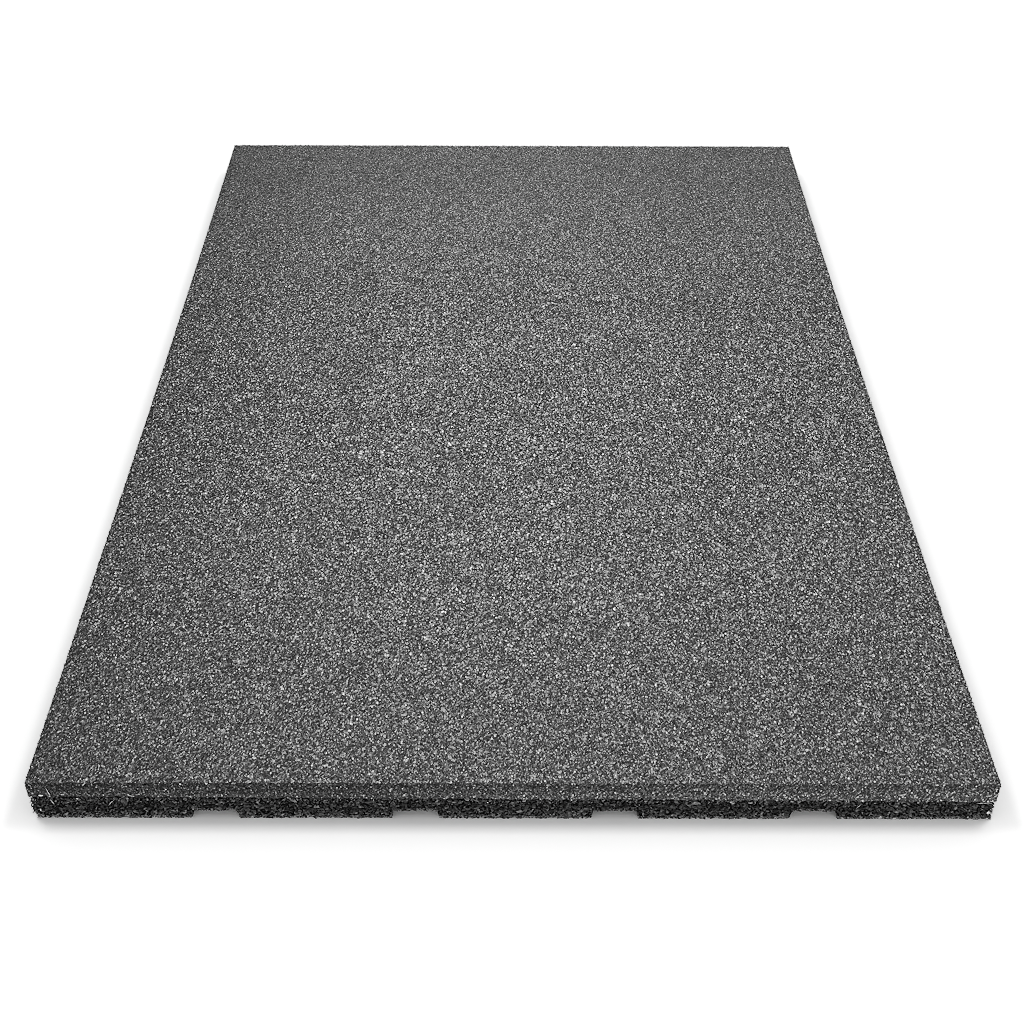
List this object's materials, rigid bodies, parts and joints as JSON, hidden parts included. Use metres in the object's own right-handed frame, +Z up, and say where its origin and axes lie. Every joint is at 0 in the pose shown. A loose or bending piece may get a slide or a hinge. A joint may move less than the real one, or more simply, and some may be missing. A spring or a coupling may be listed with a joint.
{
  "type": "rubber safety tile",
  "caption": "Flat rectangular tile of bound rubber granulate, with straight drainage channels along its underside, laid to soften falls.",
  "frame": {"origin": "middle of the underside, at the level of the floor the tile lies on", "axes": "+Z up out of the walking face, +Y along the long side, +X across"},
  "size_m": [0.5, 0.75, 0.028],
  "materials": {
    "granulate": "matt black bound granulate, fine and grey-flecked on top, coarse and darker at the base"
  },
  "bodies": {
    "root": {"rubber_tile": "granulate"}
  },
  "joints": []
}
